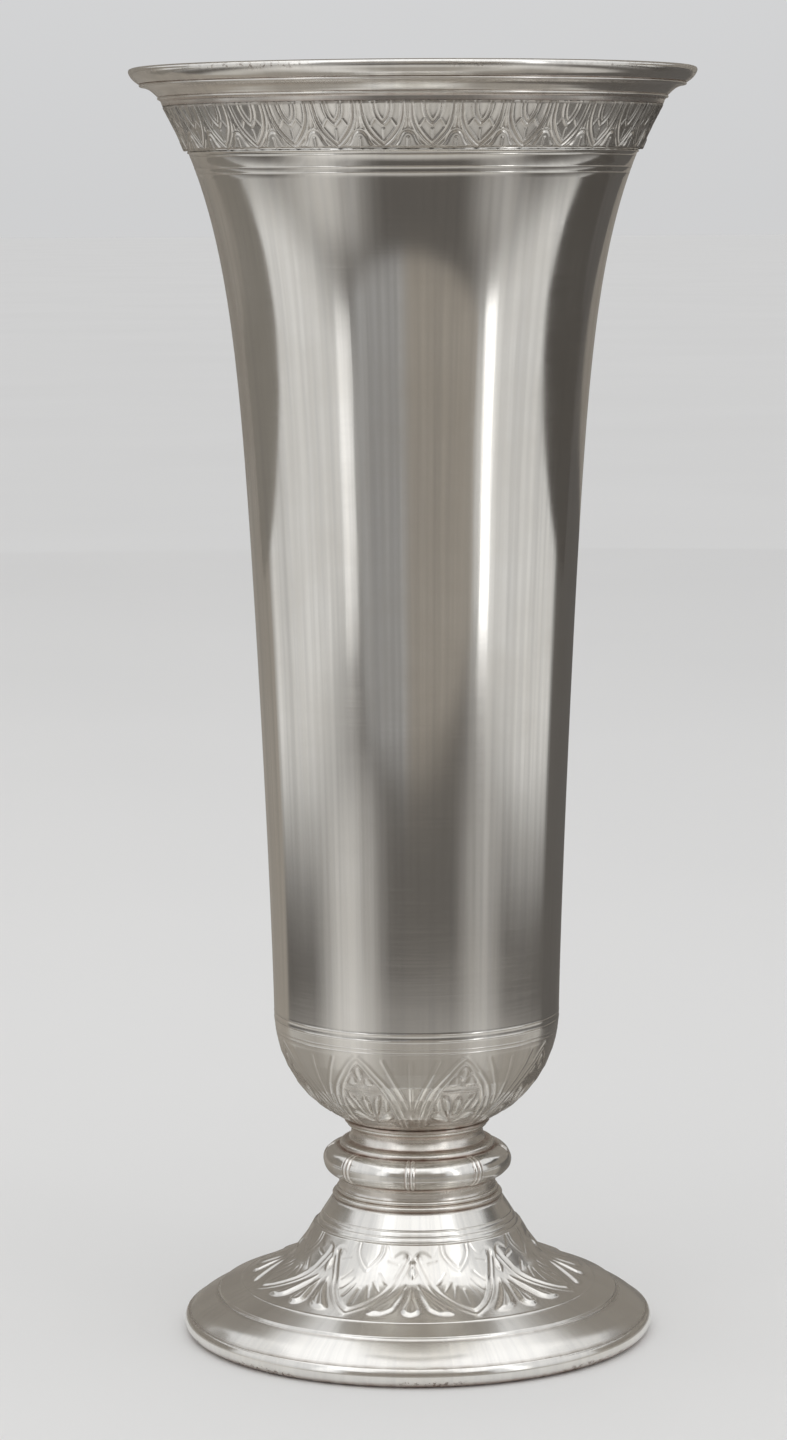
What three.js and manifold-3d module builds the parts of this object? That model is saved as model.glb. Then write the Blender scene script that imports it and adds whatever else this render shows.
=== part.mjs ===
// Pedestal vase in polished silver plate: a flared trumpet body with a rolled rim and a leaf band,
// a round cup under it, a stem of turned mouldings and a hollow bell foot on a half-round base ring.
// A stud and nut inside the foot pull the stack together.
// Millimetres, +Z up. The origin is on the floor, on the vase's axis.

import * as THREE from 'three';
import { mergeVertices } from 'three/addons/utils/BufferGeometryUtils.js';
import Module from 'manifold-3d';

// Base ring: a half-round wire with a flat underside
const FOOT_RADIUS = 74.8;
const FOOT_ROLL_RADIUS = 3.8;
const FOOT_ROLL_TOP_ANGLE = 41; // degrees, where the roll ends under the bell's edge
const FOOT_WIRE_FLAT = 3.4; // width of the flat ring it stands on

// Bell foot: spun sheet with a sloping flange, a shallow dish and a steep cone under a flat top
const FOOT_GAUGE = 1.1;
const BELL_SETBACK = 0.4; // ledge of the base ring left bare outside the bell's edge
const BELL_TOP_LEDGE = 0.5; // flat top left bare outside the foot collar
const FLANGE_RUN = 9.8;
const FLANGE_RISE = 6.5;
const DISH_RISE = 10.2;
const CONE_RUN = 13.6;
const CONE_RISE = 20.2;
const DISH_CURVE_LENGTH = 5.2; // how far the bend between dish and cone reaches along each of them

// Foot collar: two small steps under a cove
const COLLAR_RADIUS = 26.5;
const COLLAR_WALL = 6;
const COLLAR_STEP_HEIGHT = 1.5;
const COLLAR_STEP_SET = 0.6;
const COLLAR_COVE_HEIGHT = 4.2;
const COLLAR_COVE_DEPTH = 0.9;

// Knop: a hollow half-round ring pressed as an upper and a lower half
const KNOP_STANDOUT = 3.4; // past the foot collar
const KNOP_ROLL_RADIUS = 4.6;
const KNOP_GAUGE = 1.1;

// Neck collar: a flange, a cove and two beads under the cup
const NECK_WAIST_RADIUS = 21.2;
const NECK_WALL = 4.2; // at the waist
const NECK_FLANGE_STANDOUT = 3.6; // this and the next three are past the waist
const NECK_COVE_STANDOUT = 1.4;
const NECK_LOW_BEAD_STANDOUT = 1.6;
const NECK_TOP_BEAD_STANDOUT = 2.5;
const NECK_FLANGE_HEIGHT = 1.2;
const NECK_COVE_HEIGHT = 5.6;
const NECK_BEAD_HEIGHT = 1.1;

// Cup: the closed lower end of the vase, lapped inside the trumpet
const CUP_GAUGE = 1.1;
const CUP_DEPTH = 32.4;
const CUP_SEAT_LEDGE = 0.9; // top bead left bare outside the cup
const CUP_START_ANGLE = 4; // degrees from upright at the cup's upper edge
const CUP_END_ANGLE = 64; // degrees from upright where the cup meets its seat
const CUP_FLOOR = 1.6;
const LAP_HEIGHT = 8;

// Trumpet body: spun sheet, slow taper plus a late flare
const BODY_GAUGE = 1.0;
const BODY_HEIGHT = 295;
const BODY_LOWER_RADIUS = 45.3;
const BODY_TAPER = 14.4;
const BODY_TAPER_POWER = 1.28;
const BODY_FLARE = 21.8;
const BODY_FLARE_POWER = 8.3;

// Leaf band: a rolled strip on the trumpet's outside, just under the rim
const FRIEZE_GAUGE = 0.7;
const FRIEZE_HEIGHT = 13.6;

// Rim moulding: a skirt over the trumpet's edge, a fillet, a cove and a rounded lip
const LIP_OVERHANG = 6.6; // past the trumpet's edge
const LIP_HEIGHT = 5;
const LIP_UNDERCUT = 2.9;
const LIP_EDGE_RADIUS = 1.6;
const LIP_EDGE_DROP_ANGLE = 20; // degrees below level where the rounded edge meets the underside
const LIP_TOP_WIDTH = 2.2;
const LIP_TOP_DIP = 0.4; // fall of the lip's top towards the mouth
const RIM_CAP_HEIGHT = 4;
const RIM_SKIRT_HEIGHT = 8;
const RIM_SKIRT_WALL = 1.0;
const RIM_FILLET_HEIGHT = 2.4;
const RIM_COVE_SAG = 0.8;

// Tie: a threaded stud in a boss under the cup, with its plate, washer and nut inside the foot
const STUD_RADIUS = 3;
const STUD_TAIL = 3; // stud left showing below the nut
const BOSS_HEIGHT = 6;
const PLATE_MARGIN = 9; // from the plate's edge out to the bell's top edge
const PLATE_THICKNESS = 2.4;
const WASHER_WIDTH = 2.3;
const WASHER_THICKNESS = 1.5;
const WASHER_SPLIT = 1.0;
const NUT_WALL = 1.7; // from the hole to a flat
const NUT_HEIGHT = 5;
const NUT_CHAMFER = 0.7;
const EDGE_CHAMFER = 0.5;

// Clearances and facets
const SOLDER_GAP = 0.2; // between the trumpet's sheet and what is soldered round it
const LAP_GAP = 0.3; // between the cup's lap and the trumpet
const FIT_CLEARANCE = 0.3; // round the stud and the boss, and above the stud's end
const RING_FACETS = 48;
const HARDWARE_FACETS = 24;
const ROLL_STEPS = 5; // facets round a roll
const COVE_STEPS = 4; // facets round a cove
const EDGE_STEPS = 3; // facets round an edge or a bend
const CUP_STATIONS = 8; // up the cup's wall
const BODY_STATIONS = 10; // up the trumpet below the leaf band
const BAND_STATIONS = 3; // up the leaf band, and up the rim's seat
const STATION_CROWDING = 1.6; // draws the trumpet's stations together towards the flare

// Levels above the floor, and radii that pieces share
const rad = THREE.MathUtils.degToRad;
const bellEdgeZ = FOOT_ROLL_RADIUS * (1 + Math.sin(rad(FOOT_ROLL_TOP_ANGLE)));
const bellTopZ = bellEdgeZ + FLANGE_RISE + DISH_RISE + CONE_RISE;
const knopBottomZ = bellTopZ + 2 * COLLAR_STEP_HEIGHT + COLLAR_COVE_HEIGHT;
const knopMiddleZ = knopBottomZ + KNOP_ROLL_RADIUS;
const knopTopZ = knopMiddleZ + KNOP_ROLL_RADIUS;
const cupSeatZ = knopTopZ + NECK_FLANGE_HEIGHT + NECK_COVE_HEIGHT + 2 * NECK_BEAD_HEIGHT;
const bodySeamZ = cupSeatZ + CUP_DEPTH;
const mouthZ = bodySeamZ + BODY_HEIGHT;
const rimTopZ = mouthZ + RIM_CAP_HEIGHT;
const rimSkirtZ = mouthZ - RIM_SKIRT_HEIGHT;
const friezeBottomZ = rimSkirtZ - FRIEZE_HEIGHT;
const bellTopRadius = COLLAR_RADIUS + BELL_TOP_LEDGE;
const neckBoreRadius = NECK_WAIST_RADIUS - NECK_WALL;
const neckTopRadius = NECK_WAIST_RADIUS + NECK_TOP_BEAD_STANDOUT;
const cupSeatRadius = neckTopRadius - CUP_SEAT_LEDGE;
const studHoleRadius = STUD_RADIUS + FIT_CLEARANCE;
const plateTopZ = bellTopZ - FOOT_GAUGE;
const washerTopZ = plateTopZ - PLATE_THICKNESS;
const nutTopZ = washerTopZ - WASHER_THICKNESS;
const nutBottomZ = nutTopZ - NUT_HEIGHT;

// Materials
const silver = (color, roughness) => new THREE.MeshStandardMaterial({ color, roughness, metalness: 1 });
const POLISHED_SILVER = 0xc9c5bd;
const BRIGHT_SILVER = 0xd6d2c9;
const BRASS = 0xb79a58;
const STEEL = 0x8d8f92;

const vase = new THREE.Group();

function addPiece(name, geometry, material) {
  const mesh = new THREE.Mesh(geometry, material);
  mesh.name = name;
  vase.add(mesh);
}

// Outline helpers: points are (radius, height)
const at = (r, z) => new THREE.Vector2(r, z);

function ellipseArc(r, z, radiusR, radiusZ, fromDegrees, toDegrees, steps) {
  return Array.from({ length: steps + 1 }, (_, i) => {
    const angle = rad(fromDegrees + ((toDegrees - fromDegrees) * i) / steps);
    return at(r + radiusR * Math.cos(angle), z + radiusZ * Math.sin(angle));
  });
}

function bend(start, corner, end, steps) {
  return new THREE.QuadraticBezierCurve(start, corner, end).getPoints(steps);
}

function toward(from, to, distance) {
  const step = to.clone().sub(from);
  return from.clone().addScaledVector(step.normalize(), distance);
}

// A line beside an outline that runs upward, on its axis side where the distance is positive.
// Its ends stay level with the outline's ends, or straight under an end that runs flat.
function beside(outline, distance) {
  const last = outline.length - 1;
  return outline.map((point, i) => {
    const before = point.clone().sub(outline[Math.max(i - 1, 0)]).normalize();
    const after = outline[Math.min(i + 1, last)].clone().sub(point).normalize();
    if (i === 0 || i === last) {
      const along = i === 0 ? after : before;
      const flat = Math.abs(along.y) < 1e-6;
      return flat ? at(point.x, point.y - distance) : at(point.x - distance / along.y, point.y);
    }
    const along = before.add(after);
    const square = at(-along.y, along.x).normalize();
    const stretch = square.dot(at(-after.y, after.x));
    return point.clone().addScaledVector(square, distance / stretch);
  });
}

function turned(outline, facets = RING_FACETS) {
  const points = THREE.ShapeUtils.area(outline) < 0 ? [...outline].reverse() : [...outline];
  if (points[0].x > 0) points.push(points[0].clone());
  return new THREE.LatheGeometry(points, facets).rotateX(Math.PI / 2);
}

// Trumpet outline at a height, and its stretches below the leaf band, under it and under the rim
function bodyRadius(z) {
  const share = THREE.MathUtils.clamp((z - bodySeamZ) / BODY_HEIGHT, 0, 1);
  return BODY_LOWER_RADIUS + BODY_TAPER * share ** BODY_TAPER_POWER + BODY_FLARE * share ** BODY_FLARE_POWER;
}

function bodyStretch(fromZ, toZ, steps, crowding = 1) {
  return Array.from({ length: steps + 1 }, (_, i) => {
    const z = toZ - (toZ - fromZ) * (1 - i / steps) ** crowding;
    return at(bodyRadius(z), z);
  });
}

const bodyShaft = bodyStretch(bodySeamZ, friezeBottomZ, BODY_STATIONS, STATION_CROWDING);
const bodyBand = bodyStretch(friezeBottomZ, rimSkirtZ, BAND_STATIONS);
const bodyMouth = bodyStretch(rimSkirtZ, mouthZ, BAND_STATIONS);

function makeFootWire() {
  const rollCentre = FOOT_RADIUS - FOOT_ROLL_RADIUS;
  const inner = rollCentre - FOOT_WIRE_FLAT;
  const roll = ellipseArc(rollCentre, FOOT_ROLL_RADIUS, FOOT_ROLL_RADIUS, FOOT_ROLL_RADIUS,
    -90, FOOT_ROLL_TOP_ANGLE, ROLL_STEPS);
  return turned([at(inner, 0), ...roll, at(inner, bellEdgeZ)]);
}

function makeFootBell() {
  const rollTop = FOOT_RADIUS - FOOT_ROLL_RADIUS * (1 - Math.cos(rad(FOOT_ROLL_TOP_ANGLE)));
  const edge = at(rollTop - BELL_SETBACK, bellEdgeZ);
  const flangeTop = at(edge.x - FLANGE_RUN, edge.y + FLANGE_RISE);
  const corner = at(bellTopRadius + CONE_RUN, flangeTop.y + DISH_RISE);
  const top = at(bellTopRadius, bellTopZ);
  const reach = Math.min(DISH_CURVE_LENGTH, corner.distanceTo(flangeTop) / 2, corner.distanceTo(top) / 2);
  const outside = [
    edge,
    flangeTop,
    ...bend(toward(corner, flangeTop, reach), corner, toward(corner, top, reach), EDGE_STEPS),
    top,
    at(studHoleRadius, bellTopZ),
  ];
  return turned([...outside, ...beside(outside, FOOT_GAUGE).reverse()]);
}

function makeFootCollar() {
  const upper = COLLAR_RADIUS - COLLAR_STEP_SET;
  const bore = upper - COLLAR_COVE_DEPTH - COLLAR_WALL;
  const stepTopZ = bellTopZ + 2 * COLLAR_STEP_HEIGHT;
  const coveMiddleZ = stepTopZ + COLLAR_COVE_HEIGHT / 2;
  return turned([
    at(bore, bellTopZ),
    at(COLLAR_RADIUS, bellTopZ),
    at(COLLAR_RADIUS, bellTopZ + COLLAR_STEP_HEIGHT),
    at(upper, bellTopZ + COLLAR_STEP_HEIGHT),
    ...ellipseArc(upper, coveMiddleZ, -COLLAR_COVE_DEPTH, COLLAR_COVE_HEIGHT / 2, -90, 90, COVE_STEPS),
    at(bore, knopBottomZ),
  ]);
}

// side is 1 for the upper half and -1 for the lower one
function makeKnopHalf(side) {
  const rollCentre = COLLAR_RADIUS + KNOP_STANDOUT - KNOP_ROLL_RADIUS;
  const bore = neckBoreRadius + FIT_CLEARANCE;
  const inside = KNOP_ROLL_RADIUS - KNOP_GAUGE;
  const flatZ = knopMiddleZ + side * KNOP_ROLL_RADIUS;
  return turned([
    at(bore, flatZ),
    ...ellipseArc(rollCentre, knopMiddleZ, KNOP_ROLL_RADIUS, KNOP_ROLL_RADIUS, side * 90, 0, ROLL_STEPS),
    ...ellipseArc(rollCentre, knopMiddleZ, inside, inside, 0, side * 90, EDGE_STEPS),
    at(bore, flatZ - side * KNOP_GAUGE),
  ]);
}

function makeNeckCollar() {
  const flangeTopZ = knopTopZ + NECK_FLANGE_HEIGHT;
  const coveTopZ = flangeTopZ + NECK_COVE_HEIGHT;
  const beadSeamZ = coveTopZ + NECK_BEAD_HEIGHT;
  const coveMiddleZ = (flangeTopZ + coveTopZ) / 2;
  const flange = NECK_WAIST_RADIUS + NECK_FLANGE_STANDOUT;
  const coveEdge = NECK_WAIST_RADIUS + NECK_COVE_STANDOUT;
  const lowBead = NECK_WAIST_RADIUS + NECK_LOW_BEAD_STANDOUT;
  return turned([
    at(neckBoreRadius, knopTopZ),
    at(flange, knopTopZ),
    at(flange, flangeTopZ),
    ...ellipseArc(coveEdge, coveMiddleZ, -NECK_COVE_STANDOUT, NECK_COVE_HEIGHT / 2, -90, 90, COVE_STEPS),
    at(lowBead, coveTopZ),
    at(lowBead, beadSeamZ),
    at(neckTopRadius, beadSeamZ),
    at(neckTopRadius, cupSeatZ),
    at(neckBoreRadius, cupSeatZ),
  ]);
}

// Cup wall from the seat up to the seam: an arc of an ellipse that leaves the seam nearly upright
function cupOutline(steps) {
  const start = rad(CUP_START_ANGLE);
  const end = rad(CUP_END_ANGLE);
  const acrossR = (BODY_LOWER_RADIUS - cupSeatRadius) / (Math.cos(start) - Math.cos(end));
  const acrossZ = CUP_DEPTH / (Math.sin(end) - Math.sin(start));
  const centreR = BODY_LOWER_RADIUS - acrossR * Math.cos(start);
  const centreZ = bodySeamZ + acrossZ * Math.sin(start);
  return ellipseArc(centreR, centreZ, acrossR, acrossZ, -CUP_END_ANGLE, -CUP_START_ANGLE, steps);
}

function makeCup() {
  const outside = cupOutline(CUP_STATIONS);
  const lapOuter = BODY_LOWER_RADIUS - BODY_GAUGE - LAP_GAP;
  const lapInner = lapOuter - CUP_GAUGE;
  const lapTopZ = bodySeamZ + LAP_HEIGHT;
  const floorZ = cupSeatZ + CUP_FLOOR;
  const inside = beside(outside, CUP_GAUGE)
    .filter((point) => point.y > floorZ + CUP_FLOOR && point.x < lapInner)
    .reverse();
  const floorEdge = inside[inside.length - 1];
  return turned([
    at(0, cupSeatZ),
    ...outside,
    at(lapOuter, bodySeamZ),
    at(lapOuter, lapTopZ),
    at(lapInner, lapTopZ),
    at(lapInner, inside[0].y + CUP_GAUGE),
    ...inside,
    at(floorEdge.x - (floorEdge.y - floorZ), floorZ),
    at(0, floorZ),
  ]);
}

function makeTrumpet() {
  const outside = [...bodyShaft, ...bodyBand.slice(1), ...bodyMouth.slice(1)];
  return turned([...outside, ...beside(outside, BODY_GAUGE).reverse()]);
}

function makeFrieze() {
  const back = beside(bodyBand, -SOLDER_GAP);
  const front = beside(bodyBand, -SOLDER_GAP - FRIEZE_GAUGE);
  return turned([...front, ...back.reverse()]);
}

function makeRim() {
  const seat = beside(bodyMouth, -SOLDER_GAP);
  const skirt = at(seat[0].x + RIM_SKIRT_WALL, rimSkirtZ);
  const throat = beside(bodyMouth, BODY_GAUGE).pop();
  const lipRadius = bodyRadius(mouthZ) + LIP_OVERHANG;
  const lipFoot = at(lipRadius - LIP_UNDERCUT, rimTopZ - LIP_HEIGHT);
  const coveFootZ = rimSkirtZ + RIM_FILLET_HEIGHT;
  const coveFoot = at(bodyRadius(coveFootZ) + SOLDER_GAP + RIM_SKIRT_WALL, coveFootZ);
  const coveMiddle = lipFoot.clone().lerp(coveFoot, 0.5);
  const hollow = at(coveMiddle.x - 2 * RIM_COVE_SAG, coveMiddle.y + 2 * RIM_COVE_SAG);
  const edgeCentre = at(lipRadius - LIP_EDGE_RADIUS, rimTopZ - LIP_EDGE_RADIUS);
  return turned([
    skirt,
    ...bend(coveFoot, hollow, lipFoot, EDGE_STEPS),
    ...ellipseArc(edgeCentre.x, edgeCentre.y, LIP_EDGE_RADIUS, LIP_EDGE_RADIUS,
      -LIP_EDGE_DROP_ANGLE, 90, EDGE_STEPS),
    at(edgeCentre.x - LIP_TOP_WIDTH, rimTopZ - LIP_TOP_DIP),
    throat,
    ...seat.reverse(),
  ]);
}

function makeBoss() {
  const outer = neckBoreRadius - FIT_CLEARANCE;
  const bottomZ = cupSeatZ - BOSS_HEIGHT;
  return turned([
    at(studHoleRadius, bottomZ),
    at(outer - EDGE_CHAMFER, bottomZ),
    at(outer, bottomZ + EDGE_CHAMFER),
    at(outer, cupSeatZ),
    at(studHoleRadius, cupSeatZ),
  ], HARDWARE_FACETS);
}

function makeStud() {
  const bottomZ = nutBottomZ - STUD_TAIL;
  const topZ = cupSeatZ - FIT_CLEARANCE;
  return turned([
    at(0, bottomZ),
    at(STUD_RADIUS - EDGE_CHAMFER, bottomZ),
    at(STUD_RADIUS, bottomZ + EDGE_CHAMFER),
    at(STUD_RADIUS, topZ - EDGE_CHAMFER),
    at(STUD_RADIUS - EDGE_CHAMFER, topZ),
    at(0, topZ),
  ], HARDWARE_FACETS);
}

function makePlate() {
  const outer = bellTopRadius - PLATE_MARGIN;
  return turned([
    at(studHoleRadius, washerTopZ),
    at(outer - EDGE_CHAMFER, washerTopZ),
    at(outer, washerTopZ + EDGE_CHAMFER),
    at(outer, plateTopZ),
    at(studHoleRadius, plateTopZ),
  ], HARDWARE_FACETS);
}

// A flat ring cut through once
function makeLockWasher() {
  const outer = studHoleRadius + WASHER_WIDTH;
  const outerHalf = Math.asin(WASHER_SPLIT / 2 / outer);
  const innerHalf = Math.asin(WASHER_SPLIT / 2 / studHoleRadius);
  const ring = new THREE.Shape();
  ring.absarc(0, 0, outer, outerHalf, 2 * Math.PI - outerHalf, false);
  ring.absarc(0, 0, studHoleRadius, 2 * Math.PI - innerHalf, innerHalf, true);
  ring.closePath();
  const solid = new THREE.ExtrudeGeometry(ring, {
    depth: WASHER_THICKNESS, bevelEnabled: false, curveSegments: HARDWARE_FACETS / 2,
  });
  return solid.translate(0, 0, nutTopZ);
}

const wasm = await Module();
wasm.setup();

function toSolid(geometry) {
  const bare = geometry.clone().deleteAttribute('normal').deleteAttribute('uv');
  const merged = mergeVertices(bare, 1e-4);
  return new wasm.Manifold(new wasm.Mesh({
    numProp: 3,
    vertProperties: new Float32Array(merged.attributes.position.array),
    triVerts: new Uint32Array(merged.index.array),
  }));
}

function toGeometry(solid) {
  const mesh = solid.getMesh();
  const geometry = new THREE.BufferGeometry();
  geometry.setAttribute('position', new THREE.BufferAttribute(mesh.vertProperties, 3));
  geometry.setIndex(new THREE.BufferAttribute(mesh.triVerts, 1));
  geometry.computeVertexNormals();
  return geometry;
}

// A hexagonal prism with its stud hole, rounded off at both ends by a chamfered blank
function makeNut() {
  const corner = (2 * (studHoleRadius + NUT_WALL)) / Math.sqrt(3);
  const hexagon = new THREE.Shape(Array.from({ length: 6 }, (_, i) =>
    at(corner * Math.cos((i * Math.PI) / 3), corner * Math.sin((i * Math.PI) / 3))));
  const hole = new THREE.Path();
  hole.absarc(0, 0, studHoleRadius, 0, 2 * Math.PI, true);
  hexagon.holes.push(hole);
  const prism = new THREE.ExtrudeGeometry(hexagon, {
    depth: NUT_HEIGHT, bevelEnabled: false, curveSegments: HARDWARE_FACETS / 2,
  });
  const blank = turned([
    at(0, nutBottomZ),
    at(corner - NUT_CHAMFER, nutBottomZ),
    at(corner, nutBottomZ + NUT_CHAMFER / 2),
    at(corner, nutTopZ - NUT_CHAMFER / 2),
    at(corner - NUT_CHAMFER, nutTopZ),
    at(0, nutTopZ),
  ], 2 * HARDWARE_FACETS);
  return toGeometry(toSolid(prism.translate(0, 0, nutBottomZ)).intersect(toSolid(blank)));
}

addPiece('rim_moulding', makeRim(), silver(BRIGHT_SILVER, 0.16));
addPiece('leaf_frieze', makeFrieze(), silver(POLISHED_SILVER, 0.22));
addPiece('trumpet_body', makeTrumpet(), silver(POLISHED_SILVER, 0.12));
addPiece('cup', makeCup(), silver(BRIGHT_SILVER, 0.16));
addPiece('neck_collar', makeNeckCollar(), silver(BRIGHT_SILVER, 0.16));
addPiece('knop_upper_half', makeKnopHalf(1), silver(BRIGHT_SILVER, 0.14));
addPiece('knop_lower_half', makeKnopHalf(-1), silver(BRIGHT_SILVER, 0.14));
addPiece('foot_collar', makeFootCollar(), silver(BRIGHT_SILVER, 0.16));
addPiece('foot_bell', makeFootBell(), silver(BRIGHT_SILVER, 0.16));
addPiece('foot_wire', makeFootWire(), silver(BRIGHT_SILVER, 0.2));
addPiece('stud_boss', makeBoss(), silver(BRASS, 0.4));
addPiece('tie_stud', makeStud(), silver(BRASS, 0.4));
addPiece('clamp_plate', makePlate(), silver(BRASS, 0.45));
addPiece('lock_washer', makeLockWasher(), silver(STEEL, 0.4));
addPiece('hex_nut', makeNut(), silver(BRASS, 0.35));

export default vase;
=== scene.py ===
"""Looks of the pedestal vase: fine turned and chased meshes in worn silver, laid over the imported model.

Outlines are (radius, height) pairs in millimetres and run anticlockwise: up the outside, down the inside.
Angles round the vase start at its front (-Y) and grow towards +X.
"""

import math

import bpy
import numpy as np
from mathutils import Matrix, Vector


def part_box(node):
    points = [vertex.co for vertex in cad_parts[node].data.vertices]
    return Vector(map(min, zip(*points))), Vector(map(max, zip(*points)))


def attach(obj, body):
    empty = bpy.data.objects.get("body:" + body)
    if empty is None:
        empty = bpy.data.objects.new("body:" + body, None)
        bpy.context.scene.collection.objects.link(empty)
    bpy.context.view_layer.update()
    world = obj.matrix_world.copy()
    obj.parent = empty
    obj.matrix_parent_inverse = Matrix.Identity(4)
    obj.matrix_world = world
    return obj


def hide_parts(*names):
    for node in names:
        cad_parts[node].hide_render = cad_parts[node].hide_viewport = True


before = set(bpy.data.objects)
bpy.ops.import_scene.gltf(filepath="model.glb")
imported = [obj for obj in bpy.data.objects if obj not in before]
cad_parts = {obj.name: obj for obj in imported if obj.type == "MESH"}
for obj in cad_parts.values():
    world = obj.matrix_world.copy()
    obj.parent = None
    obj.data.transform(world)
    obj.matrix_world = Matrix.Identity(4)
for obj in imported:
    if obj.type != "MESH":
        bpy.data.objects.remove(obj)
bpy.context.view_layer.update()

MM = 0.001


def size_of(cad_node):
    """Outer radius, bottom and top of a CAD node, in mm."""
    low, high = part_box(cad_node)
    return high.x / MM, low.z / MM, high.z / MM


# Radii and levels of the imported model
RIM_RADIUS, RIM_BOTTOM, _ = size_of("rim_moulding")
_, FRIEZE_BOTTOM, FRIEZE_TOP = size_of("leaf_frieze")
MOUTH_RADIUS, BODY_BOTTOM, MOUTH = size_of("trumpet_body")
CUP_RADIUS, CUP_SEAT, LAP_TOP = size_of("cup")
NECK_RADIUS, NECK_BOTTOM, NECK_TOP = size_of("neck_collar")
KNOP_RADIUS, _, KNOP_MIDDLE = size_of("knop_lower_half")
COLLAR_RADIUS, COLLAR_BOTTOM, COLLAR_TOP = size_of("foot_collar")
BELL_RADIUS, BELL_EDGE, BELL_TOP = size_of("foot_bell")
FOOT_RADIUS, FLOOR, WIRE_TOP = size_of("foot_wire")
BOSS_RADIUS, BOSS_BOTTOM, BOSS_TOP = size_of("stud_boss")
STUD_RADIUS, STUD_BOTTOM, STUD_TOP = size_of("tie_stud")
PLATE_RADIUS, PLATE_BOTTOM, PLATE_TOP = size_of("clamp_plate")
WASHER_RADIUS, WASHER_BOTTOM, WASHER_TOP = size_of("lock_washer")
NUT_RADIUS, NUT_BOTTOM, NUT_TOP = size_of("hex_nut")

# Sheet, bores and fits, as in the solids
BODY_GAUGE = 1.0
CUP_GAUGE = 1.1
CUP_FLOOR = 1.6
FOOT_GAUGE = 1.1
KNOP_GAUGE = 1.1
KNOP_ROLL = 4.6
FOOT_ROLL = 3.8
FOOT_ROLL_TOP = 41  # degrees
FOOT_FLAT = 3.4
SOLDER_GAP = 0.2
LAP_GAP = 0.3
NECK_BORE = 17.0
KNOP_BORE = 17.3
COLLAR_BORE = 19.0
STUD_HOLE = 3.3
EDGE_CHAMFER = 0.5

# Trumpet: a slow taper and a late flare
BODY_TAPER = 14.4
BODY_TAPER_POWER = 1.28
BODY_FLARE = MOUTH_RADIUS - CUP_RADIUS - BODY_TAPER
BODY_FLARE_POWER = 8.3

# Threads on the body, the cup and the foot: level, height (below 0 where one is cut in) and half width
BODY_THREADS = [
    (BODY_BOTTOM + 0.657, 0.07, 0.24), (BODY_BOTTOM + 2.657, 0.07, 0.24),
    (FRIEZE_BOTTOM - 7.393, 0.09, 0.3), (FRIEZE_BOTTOM - 5.593, 0.09, 0.3),
    (FRIEZE_BOTTOM - 2.043, 0.08, 0.3), (FRIEZE_BOTTOM - 0.643, 0.4, 0.55),
]
CUP_THREADS = [(BODY_BOTTOM - 3.443, 0.08, 0.24), (BODY_BOTTOM - 2.193, 0.06, 0.22)]
BELL_THREADS = [
    (BELL_EDGE + 6.507, -0.12, 0.8), (BELL_EDGE + 9.657, 0.14, 0.34),
    (BELL_TOP - 8.393, -0.2, 0.42), (BELL_TOP - 6.793, -0.18, 0.42), (BELL_TOP - 5.043, -0.18, 0.42),
]

# Mesh density
COLUMNS = 192
CORNER_RADIUS = 0.22
ARC_STEP = 7.5  # degrees
CURVE_STEPS = 10
COARSE = 8  # a chased face has this many columns for each one on its hidden side
TURNED_STEP = 0.45  # mm along the outline of a small turned ring

# Angles in degrees between faces that meet in a sharp edge
SHARP_CHASED = 80
SHARP_TURNED = 60
SHARP_BODY = 50
SHARP_THREAD = 45
SHARP_MACHINED = 40
SHARP_NUT = 25

# Chased motifs, each drawn on half of one repeat and mirrored
# x is a share of the repeat from its axis, 0 to 0.5, and y a share of the band's height from its top.
# A pad swells inside its edge line, which the second list of points closes.
# A field is sunk and matted inside its edge, a ridge stands up along a line, and a groove is cut along one.
# The two numbers are the height and the half width, or the run-in of a pad or field, in mm.
PAD, FIELD, RIDGE, GROOVE = "pad", "field", "ridge", "groove"

LEAF_EDGE = [
    (0.455, 0.0), (0.45, 0.22), (0.425, 0.42), (0.35, 0.62), (0.22, 0.8), (0.09, 0.925), (0.0, 0.985),
]
LEAF_LINING = [
    (0.385, 0.0), (0.37, 0.2), (0.345, 0.36), (0.277, 0.54), (0.17, 0.7), (0.06, 0.83), (0, 0.875),
]
LEAF_BELL = [
    (0.5, 0.6), (0.43, 0.615), (0.37, 0.66), (0.315, 0.74), (0.275, 0.83), (0.22, 0.905), (0.14, 0.965),
]
LEAF_MOTIF = [
    (PAD, 0.3, 1.5, LEAF_EDGE, [(0.0, 0.0)]),
    (PAD, 0.5, 1.3, LEAF_BELL, [(0.5, 0.985)]),
    (RIDGE, 0.48, 0.62, LEAF_EDGE),
    (RIDGE, 0.26, 0.42, LEAF_LINING),
    (RIDGE, 0.32, 0.5, [(0.205, 0.0), (0.19, 0.2), (0.14, 0.36), (0.06, 0.47), (0.0, 0.52)]),
    (RIDGE, 0.26, 0.42, [(0.118, 0.0), (0.11, 0.15), (0.07, 0.29), (0.025, 0.37), (0.0, 0.4)]),
    (RIDGE, 0.26, 0.42, [(0.16, 0.375), (0.275, 0.55)]),
    (RIDGE, 0.24, 0.42, [(0.0, 0.6), (0.0, 0.9)]),
    (RIDGE, 0.32, 0.45, [(0.5, 0.0), (0.5, 0.25)]),
    (RIDGE, 0.32, 0.45, [(0.5, 0.25), (0.48, 0.4), (0.45, 0.58)]),
    (RIDGE, 0.3, 0.45, LEAF_BELL),
    (RIDGE, 0.3, 0.45, [(0.5, 0.78), (0.5, 0.99)]),
]

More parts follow.
